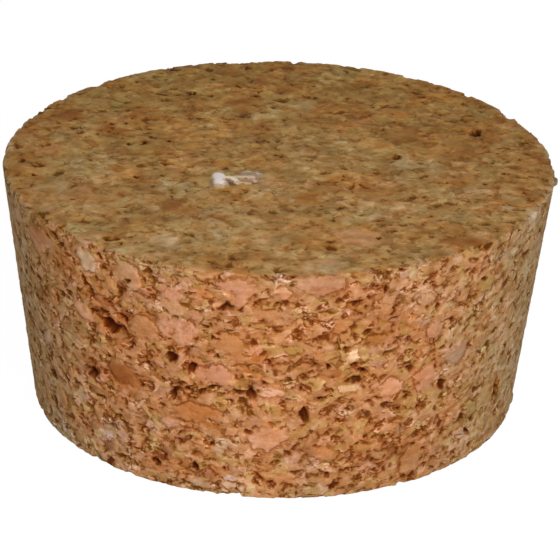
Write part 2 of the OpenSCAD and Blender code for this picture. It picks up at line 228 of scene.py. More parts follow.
def outline(i, corners, length, width):
    """An uneven polygon."""
    points = []
    for k in range(corners):
        turn = 2 * math.pi / corners * (k + between(0, 0.6, i, k))
        reach = between(0.65, 1, i, k + 10)
        points.append((0.5 * length * reach * math.cos(turn), 0.5 * width * reach * math.sin(turn)))
    return np.array(points)


# -------------------- places on the solid, as 4x4 matrices
def turned(x=0.0, y=0.0, z=0.0):
    return Matrix.Rotation(math.radians(z), 4, "Z") @ Matrix.Rotation(math.radians(y), 4, "Y") \
        @ Matrix.Rotation(math.radians(x), 4, "X")


def on_wall(angle, z):
    return turned(z=angle) @ Matrix.Translation((wall_r(z), 0, z)) @ turned(y=90 + math.degrees(TAPER))


def on_top(angle, distance):
    return Matrix.Translation((0, 0, HEIGHT)) @ turned(z=angle) @ Matrix.Translation((distance, 0, 0))


def on_bottom(angle, distance):
    """A mirrored place, since the source mirrors what it cuts into the bottom face."""
    return Matrix.Scale(-1, 4, (0, 0, 1)) @ turned(z=angle) @ Matrix.Translation((distance, 0, 0))


def on_rim(angle, centre, r, lift):
    return turned(z=angle) @ Matrix.Translation((centre[0], 0, centre[1])) @ turned(y=90 - lift) \
        @ Matrix.Translation((0, 0, r))


# -------------------- lists of cutters and large granules
# A cutter is its place, its outline and its depth. A granule is its place, its outline, the same moved aside
# and its tone
def gap_cutter(place, i, length, width, depth, turn):
    lean = turned(x=between(-14, 14, i, 20), y=between(-14, 14, i, 21))
    return place @ turned(z=turn) @ lean, outline(i, GAP_CORNERS, length, width), depth


def large_granule(place, i, length, width, turn, tone):
    shape = outline(i, GRANULE_CORNERS, length, width)
    aside = math.radians(between(0, 360, i, 22))
    moved = shape + SEAM_WIDTH * np.array([math.cos(aside), math.sin(aside)])
    return place @ turned(z=turn), shape, moved, tone


def over_wall(margin, pitch, around, along):
    """Numbers, angles and heights of places spread evenly over the wall, but for a margin at both rims."""
    tall = HEIGHT - 2 * margin
    area = math.pi * (TOP_D + BOTTOM_D) / 2 * tall / math.cos(TAPER)
    for i in range(1, round(area / pitch ** 2) + 1):
        yield i, 360 * around(i), margin + tall * along(i)


def over_face(inner, outer, pitch, first, around, along):
    """Numbers, angles and distances from the middle of places spread evenly over a face."""
    for i in range(first + 1, first + round(math.pi * outer ** 2 / pitch ** 2) + 1):
        yield i, 360 * around(i), math.sqrt(inner ** 2 + (outer ** 2 - inner ** 2) * along(i))


def listed_cutters(place, reach, first, large):
    return [gap_cutter(place(angle, share * reach), first + i, length, width, LARGE_GAP_DEPTH, turn)
            for i, (angle, share, length, width, turn) in enumerate(large)]


def spread_cutter(place, i, k, size, widths, depths):
    """A small gap whose length, width, depth and turn are drawn. k is the number of its first draw."""
    length = size * between(0.6, 1.4, i, k)
    width = length * between(*widths, i, k + 1)
    depth = GAP_DEPTH * between(*depths, i, k + 2)
    return gap_cutter(place, i, length, width, depth, between(0, 180, i, k + 3))


def wall_cutters():
    cutters = []
    for i, angle, z in over_wall(RIM_MARGIN, WALL_GAP_PITCH, spread_u, spread_v):
        if distance_to(LARGE_WALL_GAPS, angle, z / HEIGHT, wall_r(z), HEIGHT) > WALL_GAP_ROOM:
            cutters.append(spread_cutter(on_wall(angle, z), i, 1, WALL_GAP_LENGTH, (0.35, 0.65), (0.7, 1.3)))
    return cutters + listed_cutters(on_wall, HEIGHT, 500, LARGE_WALL_GAPS)


def face_cutters(place, r, first, large):
    cutters = listed_cutters(place, r, first, large)
    places = over_face(CENTRE_MARGIN, r - RIM_MARGIN, FACE_GAP_PITCH, first, spread_v, spread_u)
    for i, angle, distance in places:
        if distance_to(large, angle, distance / r, distance, r) > FACE_GAP_ROOM:
            gap = spread_cutter(place(angle, distance), i, 5, FACE_GAP_LENGTH, (0.45, 0.75), (0.5, 1))
            cutters.append(gap)
    return cutters


def rim_cutters(centre, r, lift, large, first):
    cutters = []

    def cut_chip(angle, i, length, depth):
        cutters.append(gap_cutter(on_rim(angle, centre, r, lift), i, depth * 4, length, depth, 0))

    for i, (angle, length, depth) in enumerate(large):
        cut_chip(angle, first + 50 + i, length, depth)
    count = round(2 * math.pi * centre[0] / CHIP_PITCH)
    for i in range(count):
        angle = 360 / count * (i + between(-0.3, 0.3, first + i, 1))
        nearest = math.radians(min(turn_between(angle, chip[0]) for chip in large)) * centre[0]
        length = CHIP_LENGTH * between(0.6, 1.3, first + i, 2)
        depth = CHIP_DEPTH * between(0.4, 1, first + i, 3)
        if nearest > 0.5 * (length + CHIP_ROOM):
            cut_chip(angle, first + i, length, depth)
    return cutters


def listed_granules(place, reach, first, large):
    return [large_granule(place(angle, share * reach), first + i, length, width, turn, tone)
            for i, (angle, share, length, width, turn, tone) in enumerate(large)]


def spread_granule(place, i, seed):
    length = GRANULE_LENGTH * between(0.6, 1.2, i, 31)
    width = length * between(0.45, 0.8, i, 32)
    return large_granule(place, seed, length, width, between(0, 180, i, 33), tone_of(chance(i, 34)))


def wall_granules():
    granules = listed_granules(on_wall, HEIGHT, 1000, LARGE_WALL_GRANULES)
    for i, angle, z in over_wall(0.6 * GRANULE_LENGTH, WALL_GRANULE_PITCH, spread_v, spread_u):
        if distance_to(LARGE_WALL_GRANULES, angle, z / HEIGHT, wall_r(z), HEIGHT) > GRANULE_ROOM:
            granules.append(spread_granule(on_wall(angle, z), i, 1100 + i))
    return granules


def face_granules(place, r, first, large):
    granules = listed_granules(place, r, first + 60, large)
    inner, outer = CENTRE_MARGIN + 0.5 * GRANULE_LENGTH, r - 0.8 * GRANULE_LENGTH
    for i, angle, distance in over_face(inner, outer, FACE_GRANULE_PITCH, first, spread_u, spread_v):
        if distance_to(large, angle, distance / r, distance, r) > GRANULE_ROOM:
            granules.append(spread_granule(place(angle, distance), i, i))
    return granules


# -------------------- colours
# Where the wall is pinkest, as an angle round the axis: the camera's side, where the warm key light is
# painted in
FRONT = math.radians(267)

# Tones of cork under white light, linear: on the wall, on the sliced faces, which are duller and more olive,
# and their share of the granules, from rare dark to rare pale. The faces' olive is partly sliced cork and
# partly
# painted light: the cooler light that falls on the top, where the warm key light only grazes it
TONES = {
    "red_brown": ((0.270, 0.078, 0.017), (0.290, 0.112, 0.022), 0.05),
    "brown": ((0.370, 0.132, 0.036), (0.340, 0.160, 0.038), 0.09),
    "orange_brown": ((0.520, 0.190, 0.050), (0.400, 0.165, 0.033), 0.10),
    "ochre": ((0.460, 0.190, 0.050), (0.450, 0.192, 0.034), 0.07),
    "olive": ((0.480, 0.255, 0.070), (0.430, 0.248, 0.066), 0.14),
    "tan": ((0.555, 0.258, 0.112), (0.440, 0.240, 0.070), 0.18),
    "orange_tan": ((0.560, 0.230, 0.080), (0.460, 0.242, 0.064), 0.12),
    "lilac": ((0.480, 0.232, 0.132), (0.450, 0.256, 0.100), 0.02),
    "grey": ((0.520, 0.320, 0.170), (0.430, 0.275, 0.112), 0.02),
    "pink": ((0.630, 0.280, 0.155), (0.520, 0.262, 0.100), 0.12),
    "salmon": ((0.720, 0.340, 0.184), (0.520, 0.290, 0.105), 0.07),
    "cream": ((0.840, 0.500, 0.270), (0.600, 0.380, 0.170), 0.02),
}
# What the granules' tones are drawn towards, on the wall and on the sliced faces
WALL_MEAN = (0.60, 0.278, 0.128)
FACE_MEAN = (0.45, 0.25, 0.078)
# The top face's tint in front and behind, painted light: lighter and cooler in front, where the key light
# falls, browner behind. Then the sides of the wall, which are less pink, as painted light: cooler light
# falls on them and the warm key light on the front
FACE_LIGHT_FALLOFF_TINTS = ((1.07, 1.09, 1.20), (0.97, 0.93, 0.76))
SIDE_LIGHT_TAN = (0.50, 0.235, 0.088)
SIDE_LIGHT_TINT = (0.88, 1.19, 1.42)
CRUMB_COLOUR = (0.170, 0.105, 0.055)

# The fleck's blob and strands
FLECK_COLOURS = [
    (0.97, 0.86, 0.80), (0.92, 0.74, 0.55), (0.97, 0.84, 0.62), (0.68, 0.49, 0.32), (0.72, 0.55, 0.37),
    (0.50, 0.37, 0.23),
]
# Marks under them, which are colour only: two ends and half the width as for the strands, and the colour.
# The first two are painted shadow, at the blob's lower left and under the strands' loop; the others are
# stains
FLECK_SHADOWS_AND_STAINS = [
    ((-0.24, -0.05), (-0.16, -0.38), 0.08, (0.32, 0.20, 0.10)),
    ((0.20, -0.08), (0.32, -0.18), 0.09, (0.17, 0.10, 0.06)),
    ((0.62, 0.42), (0.94, 0.34), 0.15, (0.42, 0.32, 0.21)),
    ((0.66, 0.02), (0.92, 0.06), 0.12, (0.50, 0.28, 0.19)),
    ((0.72, 0.58), (0.76, 0.54), 0.07, (0.60, 0.50, 0.38)),
    ((0.92, 0.52), (0.98, 0.46), 0.08, (0.60, 0.50, 0.36)),
    ((0.84, 0.06), (0.88, -0.02), 0.06, (0.76, 0.50, 0.40)),
]
# Over them, the blob's lower right flank in painted shade, its foot and its pinker upper end. Then the cork
# that shows through the far wisp, and the wisp's two tufts
FLECK_SHADE_AND_TUFTS = [
    ((0.13, -0.12), (0.20, -0.30), 0.07, (0.56, 0.42, 0.36)),
    ((-0.06, -0.40), (0.08, -0.42), 0.06, (0.60, 0.42, 0.28)),
    ((0.00, 0.36), (0.08, 0.32), 0.06, (0.92, 0.72, 0.60)),
    ((0.78, 0.48), (0.86, 0.40), 0.08, (0.36, 0.26, 0.14)),
    ((0.66, 0.42), (0.78, 0.36), 0.06, (0.38, 0.27, 0.14)),
    ((0.70, 0.56), (0.75, 0.51), 0.06, (0.84, 0.70, 0.60)),
    ((0.91, 0.49), (0.95, 0.44), 0.06, (0.76, 0.62, 0.50)),
]

# -------------------- granules
# Size of the cells of each kind of granule, in mm
COARSE_SIZE = 4.4
MEDIUM_SIZE = 2.4
FINE_SIZE = 1.4
# How wide the joints round the coarse granules and the listed ones gape
COARSE_GAPE = 0.55
LISTED_GAPE = 0.14
# The smaller kinds: the share that shows on the wall and on the faces, the share that lies flat, how wide
# the joints gape, and how much of the range of tones they take up
MEDIUM_GRANULES = (0.55, 0.45, 0.08, 0.42, 0.85)
FINE_GRANULES = (0.64, 0.3, 0.0, 0.30, 0.55)
# For each kind of torn place, on the wall and on the sliced faces: its depth in mm, and how dark it is
# painted, partly as darker cork and partly as painted shade in the hollow
TORN_DEPTHS = {
    "joint": (0.16, 0.05), "crack": (0.2, 0.1), "pit": (0.35, 0.15), "wide_seam": (0.3, 0.15),
    "hole": (0.55, 0.3),
}
TORN_DARK_AND_SHADE = {
    "joint": (0.62, 0.27), "crack": (0.84, 0.38), "pit": (0.62, 0.5), "wide_seam": (0.56, 0.3),
    "hole": (0.72, 0.65),
}


def tone_of(x):
    """The name of the tone that a number from 0 to 1 picks."""
    for name, (*_, share) in TONES.items():
        x -= share
        if x < 0:
            return name
    return name


def tone_place(name):
    """The number from 0 to 1 in the middle of a tone's share."""
    start = 0.0
    for other, (*_, share) in TONES.items():
        if other == name:
            return start + 0.5 * share
        start += share
    raise KeyError(name)


# -------------------- node trees
class Value:
    """A node's output. Arithmetic on it adds the nodes that work the result out."""

    def __init__(self, net, socket):
        self.net = net
        self.socket = socket

    def math(self, operation, *others):
        return self.net.math(operation, self, *others)

    def __rsub__(self, other):
        return self.net.math("SUBTRACT", other, self)

    __add__ = __radd__ = partialmethod(math, "ADD")
    __sub__ = partialmethod(math, "SUBTRACT")
    __mul__ = __rmul__ = partialmethod(math, "MULTIPLY")
    __pow__ = partialmethod(math, "POWER")
    __gt__ = partialmethod(math, "GREATER_THAN")
    __lt__ = partialmethod(math, "LESS_THAN")
    __abs__ = partialmethod(math, "ABSOLUTE")


class Net:
    """Adds nodes to a tree. Every input may be a number, a vector, a colour or a Value."""

    def __init__(self, tree):
        self.tree = tree

    def add(self, kind, values=(), out=0, **settings):
        node = self.tree.nodes.new(kind)
        for name, value in settings.items():
            setattr(node, name, value)
        for key, value in dict(values).items():
            if value is not None:
                self.wire(value, node.inputs[key])
        return Value(self, node.outputs[out])

    def wire(self, value, socket):
        if isinstance(value, Value):
            self.tree.links.new(value.socket, socket)
        else:
            socket.default_value = value

    def math(self, operation, a, b=None):
        return self.add("ShaderNodeMath", {0: a, 1: b}, operation=operation)

    def most(self, a, b):
        return self.math("MAXIMUM", a, b)

    def ramp01(self, value, low, high, smooth=True):
        """0 at low and under, 1 at high and over."""
        return self.add("ShaderNodeMapRange", {"Value": value, "From Min": low, "From Max": high},
                        interpolation_type="SMOOTHSTEP" if smooth else "LINEAR")

    def line(self, distance, half_width):
        """1 on a line and 0 from half_width away from it."""
        return 1 - self.ramp01(abs(distance), 0.0, half_width)

    def mix(self, share, a, b):
        """a where the share is 0 and b where it is 1."""
        return self.add("ShaderNodeMix", {0: share, 2: a, 3: b}, data_type="FLOAT")

    def mix_colour(self, share, a, b, blend="MIX"):
        a, b = ((*colour, 1.0) if isinstance(colour, tuple) else colour for colour in (a, b))
        return self.add("ShaderNodeMix", {0: share, 6: a, 7: b}, out=2, data_type="RGBA", blend_type=blend)

    def tinted(self, colour, tint):
        return self.mix_colour(1.0, colour, tint, blend="MULTIPLY")

    def vector(self, operation, a, b=None, scale=None):
        out = 1 if operation in ("LENGTH", "DISTANCE", "DOT_PRODUCT") else 0
        return self.add("ShaderNodeVectorMath", {0: a, 1: b, "Scale": scale}, out=out, operation=operation)

    def noise(self, p, size, detail=2.0, rough=0.5, colour=False):
        """Noise whose features are about size across, 0 to 1 about 0.5."""
        values = {"Vector": p, "Scale": 1.0 / size, "Detail": detail, "Roughness": rough}
        return self.add("ShaderNodeTexNoise", values, out=1 if colour else 0)

    def signed_noise(self, p, size, offset, detail=2.0):
        """Noise about 0, mostly between -1 and 1."""
        place = self.vector("ADD", p, (offset, 2 * offset, 3 * offset))
        return (self.noise(place, size, detail) - 0.5) * 4.0

    def triple(self, x, y, z):
        return self.add("ShaderNodeCombineXYZ", {0: x, 1: y, 2: z})

    def split(self, p):
        node = self.tree.nodes.new("ShaderNodeSeparateXYZ")
        self.wire(p, node.inputs[0])
        return [Value(self, socket) for socket in node.outputs]

    def cells(self, p, offset, stretch, size):
        """Voronoi cells about size across: three random numbers a cell, and the distance to its edge."""
        values = {"Vector": moved(self, p, offset, stretch), "Scale": 1.0 / size}
        colour = self.add("ShaderNodeTexVoronoi", values, out=1, feature="F1")
        edge = self.add("ShaderNodeTexVoronoi", values, out=0, feature="DISTANCE_TO_EDGE")
        return self.split(colour), edge * size


def moved(net, p, offset, stretch=None):
    p = net.vector("ADD", p, offset)
    return p if stretch is None else net.vector("MULTIPLY", p, stretch)


def warped(net, p, size, amount):
    shift = net.vector("SUBTRACT", net.noise(p, size, colour=True), (0.5, 0.5, 0.5))
    return net.vector("ADD", p, net.vector("SCALE", shift, scale=amount))


def past_rim(net, p):
    """How far a point lies past the nearer rim, in mm: positive on the two faces, negative down the wall."""
    x, y, z = net.split(p)
    r = net.vector("LENGTH", net.triple(x, y, 0.0))
    lean = math.tan(TAPER)
    past_top = TOP_D / 2 - r - (HEIGHT - z) * (1 + lean)
    past_bottom = BOTTOM_D / 2 - r - z * (1 - lean)
    return net.most(past_top, past_bottom)


def bitten(net, p):
    """Up to 1 where crumb has broken away at a rim, less at the bottom one, and 0 elsewhere."""
    near_rim = net.ramp01(abs(past_rim(net, p)), 1.5, 0.4)
    near_rim = near_rim * net.mix(net.split(p)[2] > HEIGHT / 2, 0.3, 1.0)
    return near_rim * net.ramp01(net.noise(warped(net, p, 1.1, 0.8), 2.6), 0.54, 0.62)


def sideways(net, p):
    """0 at the wall's front, painted pink as the warm key lights it, and most torn; 1 on both sides of that,
    and between behind.
    """
    way = net.vector("NORMALIZE", net.vector("MULTIPLY", p, (1, 1, 0)))
    front = net.vector("DOT_PRODUCT", way, (math.cos(FRONT), math.sin(FRONT), 0))
    front = front + 0.12 * net.signed_noise(p, 8.0, 4.0)
    return net.ramp01(front, 0.92, 0.35) * (1 - 0.6 * net.ramp01(front, -0.2, -0.9))


def cork(net, p, face, mark, mark_seam):
    """The cork at a point p of the uncut solid, in mm.

    face is 1 on the sliced faces and 0 on the ground wall. mark and mark_seam are distances inside a listed
    large granule and inside its outline moved aside.
    Gives each quantity that the relief and the colours are made from.
    """
    ragged = warped(net, warped(net, p, 5.0, 2.6), 1.1, 0.7)
    torn = warped(net, ragged, 0.4, 0.2)
    coarse_rnd, coarse_edge = net.cells(torn, (3.1, 7.7, 1.9), (0.8, 0.8, 1.2), COARSE_SIZE)
    medium_rnd, medium_edge = net.cells(torn, (11.3, 2.3, 5.1), (0.8, 0.8, 1.3), MEDIUM_SIZE)
    fine_rnd, fine_edge = net.cells(torn, (6.7, 13.1, 8.3), (0.8, 0.8, 1.2), FINE_SIZE)
    torn_here = net.mix(face, 1 - 0.5 * net.ramp01(sideways(net, p), 0.2, 1.0), 1.0)

    # Smaller granules and crumb lie over the coarse ones, but for the few that were torn flat
    tone, shade, inside, gape = coarse_rnd[2], coarse_rnd[1], coarse_edge, COARSE_GAPE
    flat = (coarse_rnd[0] < 0.05 * torn_here) * net.ramp01(coarse_edge, 0.1, 0.6)
    for rnd, edge, (wall_share, face_share, flat_share, own_gape, tone_range) in (
            (medium_rnd, medium_edge, MEDIUM_GRANULES), (fine_rnd, fine_edge, FINE_GRANULES)):
        chosen = (rnd[0] < net.mix(face, wall_share, face_share)) * (flat < 0.5)
        tone = net.mix(chosen, tone, 0.5 * (1 - tone_range) + tone_range * rnd[2])
        shade = net.mix(chosen, shade, rnd[1])
        inside = net.mix(chosen, inside, edge)
        gape = net.mix(chosen, gape, own_gape)
        flat = net.most(flat, (rnd[0] < flat_share) * net.ramp01(edge, 0.05, 0.4))
    tone = net.mix(flat, tone, 0.15 + 0.85 * tone)

    # The listed granules lie over all of these, with a frayed outline
    fray = 1.6 * (net.noise(moved(net, p, (2.0, 4.0, 6.0)), 1.0, detail=3.0, rough=0.6) - 0.5)
    mark = mark + fray
    mark_seam = mark_seam + fray
    soft = net.mix(face, 0.45, 0.7)
    listed = net.ramp01(mark, -1.0 * soft, soft)
    gape = net.mix(net.ramp01(mark, -0.6, 0.0), gape, LISTED_GAPE)
    shade = net.mix(listed, shade, 0.6)
    inside = net.mix(listed, inside, mark)
    flat = net.most(flat, listed * net.mix(face, 1.0, 0.8))
    crumb = 1 - flat * net.mix(listed, 0.6, 0.88)

    # Crumb, with curling cracks and pale lips where it was torn, the lips partly a painted highlight. grit
    # is lowest in its pits
    grit = net.noise(moved(net, ragged, (1.0, 5.0, 9.0), (0.9, 0.9, 1.4)), 1.5, rough=0.6)
    curl = net.noise(moved(net, p, (41.0, 13.0, 7.0), (1.0, 1.0, 1.4)), 2.1, detail=3.0, rough=0.6)
    open_here = net.ramp01(net.noise(moved(net, p, (31.0, 17.0, 5.0)), 1.9), 0.47, 0.66)
    crack = crumb * net.ramp01(0.11 * open_here - abs(curl - 0.5), 0.0, 0.12, smooth=False)
    lip = net.line(curl - 0.6, 0.07) * (open_here * crumb)
    cluster = net.ramp01(net.noise(moved(net, p, (8.0, 3.0, 2.0)), 5.5, detail=1.0), 0.36, 0.60)
    pits_here = net.mix(face, torn_here * (0.6 + 0.6 * cluster), 0.35 + 0.9 * cluster)
    pit = net.ramp01(grit, 0.41, 0.29) * (crumb * pits_here)

    # Joints between granules, open in some places and shut in others
    side = net.ramp01(net.noise(moved(net, p, (5.0, 23.0, 71.0)), 1.7), 0.46, 0.62)
    joint = torn_here * net.ramp01(side * gape - abs(inside), 0.0, 0.36, smooth=False)
    wide_seam = listed * net.ramp01(mark_seam, 0.1, -0.1)

    # Single grains of crumb are missing here and there
    hole = (fine_rnd[0] < net.mix(face, 0.06, 0.035)) * net.ramp01(fine_edge, 0.0, 0.35) * (1 - flat)

    return {"face": face, "torn_here": torn_here, "tone": tone, "shade": shade, "inside": inside,
            "flat": flat, "listed": listed, "grit": grit, "lip": lip, "joint": joint, "crack": crack,
            "pit": pit, "wide_seam": wide_seam, "hole": hole}


def relief(net, c, p):
    """How far the cork lies under the uncut solid, in mm, never less than 0."""
    face = c["face"]
    lift = (c["shade"] - 0.5) * net.mix(face, 0.16, 0.05)
    crown = net.ramp01(c["inside"], 0.0, 0.5) * net.mix(face, 0.10, 0.03)
    rough = (c["grit"] - 0.5) * net.mix(face, 0.4, 0.15)
    depth = net.mix(face, 0.19, 0.07) - (lift + crown + rough)
    for name, depths in TORN_DEPTHS.items():
        depth += c[name] * net.mix(face, *depths)
    depth += 0.35 * bitten(net, p)
    return net.most(depth, 0.0) * c["torn_here"]


# -------------------- the mesh
RING = 1184                # points round the stopper, four times a cap's grid
WALL_ROWS = 176
ARC_ROWS = 5
TRIANGLES = 196000         # what is kept of them, most of it where the surface is roughest
NEAR = 1.5                 # how far outside a shape its distance is still kept
CUT_EDGE = 0.22            # how far inside its outline a cut reaches its floor
SHADE_MARGIN = 0.1         # how far the painted shade of a large gap reaches past its cut
FLOOR_MARGIN = 0.3         # how far under its floor the painted shade of a gap reaches
CRUMB_EDGE = 0.3           # over what length a crumb rises, 3 parts in 10 of it outside its outline
TOP_BAND = 0.01            # how far under the top face a point still counts as on it
UV_MARGIN = 0.004
UV_PER_MM = (1 - 4 * UV_MARGIN) / (TOP_D + BOTTOM_D)
STRIPS = 2                 # that the wall is cut into, one under the other


def cap_grid(n):
    """A disc of radius 1 as an n by n grid, with the square's sides carried to the circle."""
    axis = np.linspace(-1, 1, n + 1)
    x, y = np.meshgrid(axis, axis, indexing="xy")
    wide = np.abs(x) >= np.abs(y)
    r = np.where(wide, x, y)
    with np.errstate(divide="ignore", invalid="ignore"):
        turn = np.where(wide, y / x, x / y) * math.pi / 4
    turn = np.nan_to_num(turn)
    px = np.where(wide, r * np.cos(turn), r * np.sin(turn))
    py = np.where(wide, r * np.sin(turn), r * np.cos(turn))
    return np.stack([px, py], -1).reshape(-1, 2)


def cap_rim(n):
    """Indices of the grid's edge points, anticlockwise from the corner at -45 degrees."""
    grid = np.arange((n + 1) ** 2).reshape(n + 1, n + 1)
    return np.concatenate([grid[:-1, n], grid[n, :0:-1], grid[:0:-1, 0], grid[0, :-1]])


def section_rows():
    """Radius, height and outward direction of each ring between the two caps' edges, from the top down."""
    def on_arc(centre, r, a):
        out = np.array([math.cos(a), math.sin(a)])
        return *(centre + r * out), *out

    rows = [on_arc(TOP_C, TOP_RIM_R, math.pi / 2 + (-TAPER - math.pi / 2) * k / ARC_ROWS)
            for k in range(1, ARC_ROWS + 1)]
    rows += [(*(WALL_TOP + (WALL_FOOT - WALL_TOP) * k / WALL_ROWS), *WALL_OUT) for k in range(1, WALL_ROWS)]
    rows += [on_arc(BOTTOM_C, BOTTOM_RIM_R, -TAPER + (-math.pi / 2 + TAPER) * k / ARC_ROWS)
             for k in range(ARC_ROWS)]
    return np.array(rows)


def section_line():
    """The section's points from the top cap's edge to the bottom cap's edge."""
    rows = section_rows()[:, :2]
    return np.vstack([[TOP_C[0], HEIGHT], rows, [BOTTOM_C[0], 0]])


def build_solid():
    """Points, outward directions and quads of the uncut stopper, and how many quads each cap has."""
    n = RING // 4
    cap, rim = cap_grid(n), cap_rim(n)
    count = len(cap)
    rows = section_rows()
    turn = -math.pi / 4 + 2 * math.pi * np.arange(RING) / RING

    def revolved(r, z):
        return np.stack([np.outer(r, np.cos(turn)), np.outer(r, np.sin(turn)),
                         np.repeat(z[:, None], RING, 1)], -1).reshape(-1, 3)

    side, side_out = revolved(rows[:, 0], rows[:, 1]), revolved(rows[:, 2], rows[:, 3])
    top = np.column_stack([cap * TOP_C[0], np.full(count, HEIGHT)])
    bottom = np.column_stack([cap * BOTTOM_C[0], np.zeros(count)])
    points = np.concatenate([top, bottom, side])
    out = np.concatenate([np.tile((0, 0, 1.0), (count, 1)), np.tile((0, 0, -1.0), (count, 1)), side_out])

    grid = np.arange(count).reshape(n + 1, n + 1)
    a, b, c, d = grid[:-1, :-1], grid[:-1, 1:], grid[1:, 1:], grid[1:, :-1]
    top_quads = np.stack([a, b, c, d], -1).reshape(-1, 4)
    bottom_quads = np.stack([a, d, c, b], -1).reshape(-1, 4) + count
    rings = [rim] + [2 * count + k * RING + np.arange(RING) for k in range(len(rows))] + [rim + count]
    side_quads = [np.stack([upper, lower, np.roll(lower, -1), np.roll(upper, -1)], -1)
                  for upper, lower in zip(rings[:-1], rings[1:])]
    quads = np.concatenate([top_quads, bottom_quads] + side_quads)
    return points, out, quads, len(top_quads)


def face_share(out):
    """1 on the sliced faces, 0 on the wall, and between on the rims."""
    steep = np.abs(out[:, 2])
    return np.clip((steep - 0.45) / 0.5, 0, 1)


def inside_of(shape, q):
    """Signed distance of points q to a polygon, positive inside."""
    nearest = np.full(len(q), 1e9)
    inside = np.zeros(len(q), bool)
    for a, b in zip(shape, np.roll(shape, -1, 0)):
        ab, aq = b - a, q - a
        t = np.clip((aq @ ab) / (ab @ ab), 0, 1)
        nearest = np.minimum(nearest, np.hypot(*(aq - t[:, None] * ab).T))
        crosses = (a[1] > q[:, 1]) != (b[1] > q[:, 1])
        with np.errstate(divide="ignore", invalid="ignore"):
            edge_x = a[0] + (q[:, 1] - a[1]) * ab[0] / ab[1]
        inside ^= crosses & (q[:, 0] < edge_x)
    return np.where(inside, nearest, -nearest)


def seen_from(place, points, reach):
    """The points within reach of a place: their indices, and their coordinates in the place's frame."""
    m = np.array(place)
    near = np.nonzero(((points - m[:3, 3]) ** 2).sum(1) < reach ** 2)[0]
    return near, (points[near] - m[:3, 3]) @ m[:3, :3], m[:3, 2]


def cut(points, now, gap, cutters):
    """Moves the points inside each cutter to its floor, and notes how far inside a gap each point is."""
    for place, shape, depth in cutters:
        near, q, axis = seen_from(place, points, np.hypot(*shape.T).max() + depth + NEAR)
        inside = inside_of(shape, q[:, :2])
        share = np.clip(inside / CUT_EDGE, 0, 1) * (q[:, 2] > -depth - NEAR)
        excess = np.maximum(q[:, 2] + depth, 0)
        now[near] -= (share * excess)[:, None] * axis
        # The gap's painted shade, which for a large gap reaches a little past its cut
        dark = inside + (SHADE_MARGIN if depth == LARGE_GAP_DEPTH else 0)
        gap[near] = np.maximum(gap[near], np.where(q[:, 2] > -depth - FLOOR_MARGIN, dark, -NEAR))


def mark_granules(points, granules):
    """For each point: distance inside the nearest listed granule and its moved outline, and its tone."""
    mark = np.full(len(points), -NEAR)
    seam = np.full(len(points), -NEAR)
    tone = np.zeros(len(points))
    for place, shape, aside, name in granules:
        near, q, _ = seen_from(place, points, np.hypot(*shape.T).max() + NEAR)
        inside = inside_of(shape, q[:, :2])
        better = inside > mark[near]
        chosen = near[better]
        mark[chosen] = inside[better]
        seam[chosen] = inside_of(aside, q[better, :2])
        tone[chosen] = tone_place(name)
    return mark, seam, tone


def patchwork(points):
    """How pale and how olive the bark's patches make each point."""
    strengths = np.zeros((len(points), 2))
    middles = [on_wall(angle, share * HEIGHT) for angle, share, *_ in WALL_PATCHES] \
        + [on_top(angle, share * TOP_D / 2) for angle, share, *_ in TOP_PATCHES]
    for middle, (_, _, reach, *strength) in zip(middles, WALL_PATCHES + TOP_PATCHES):
        off = np.linalg.norm(points - np.array(middle)[:3, 3], axis=1)
        strengths += np.clip(1.5 - off / reach, 0, 1)[:, None] * strength
    return strengths


def raise_crumbs(points, now):
    """Lifts the wall under each crumb to the crumb's flat top."""
    for i, (angle, share, length, width, out) in enumerate(CRUMBS):
        shape = outline(900 + i, GAP_CORNERS, length, width)
        near, q, axis = seen_from(on_wall(angle, share * HEIGHT), points, length)
        lift = np.clip(inside_of(shape, q[:, :2]) / CRUMB_EDGE + 0.3, 0, 1)
        now[near] += (lift * np.maximum(out * CRUMB_OUT - q[:, 2], 0))[:, None] * axis


def raise_fleck(points, now):
    """Lifts the top face under the pale fleck to the caps of its blob and strands."""
    top = np.nonzero(points[:, 2] > HEIGHT - TOP_BAND)[0]
    flat = (points[top, :2] - FLECK_AT) / FLECK_LENGTH
    for a, b, half_width, rise in FLECK_STRANDS:
        along = np.subtract(b, a)
        share = np.clip((flat - a) @ along / (along @ along), 0, 1)
        apart = np.hypot(*(flat - a - share[:, None] * along).T) / half_width
        under = apart < 1
        cap = HEIGHT + FLECK_RISE * rise * (1 - apart[under] ** 2)
        now[top[under], 2] = np.maximum(now[top[under], 2], cap)


def set_attribute(mesh, name, kind, values):
    attribute = mesh.attributes.new(name, kind, "POINT")
    key = "vector" if kind == "FLOAT_VECTOR" else "value"
    attribute.data.foreach_set(key, np.ascontiguousarray(values, np.float32).ravel())


def get_floats(mesh, name):
    values = np.zeros(len(mesh.vertices), np.float32)
    mesh.attributes[name].data.foreach_get("value", values)
    return values


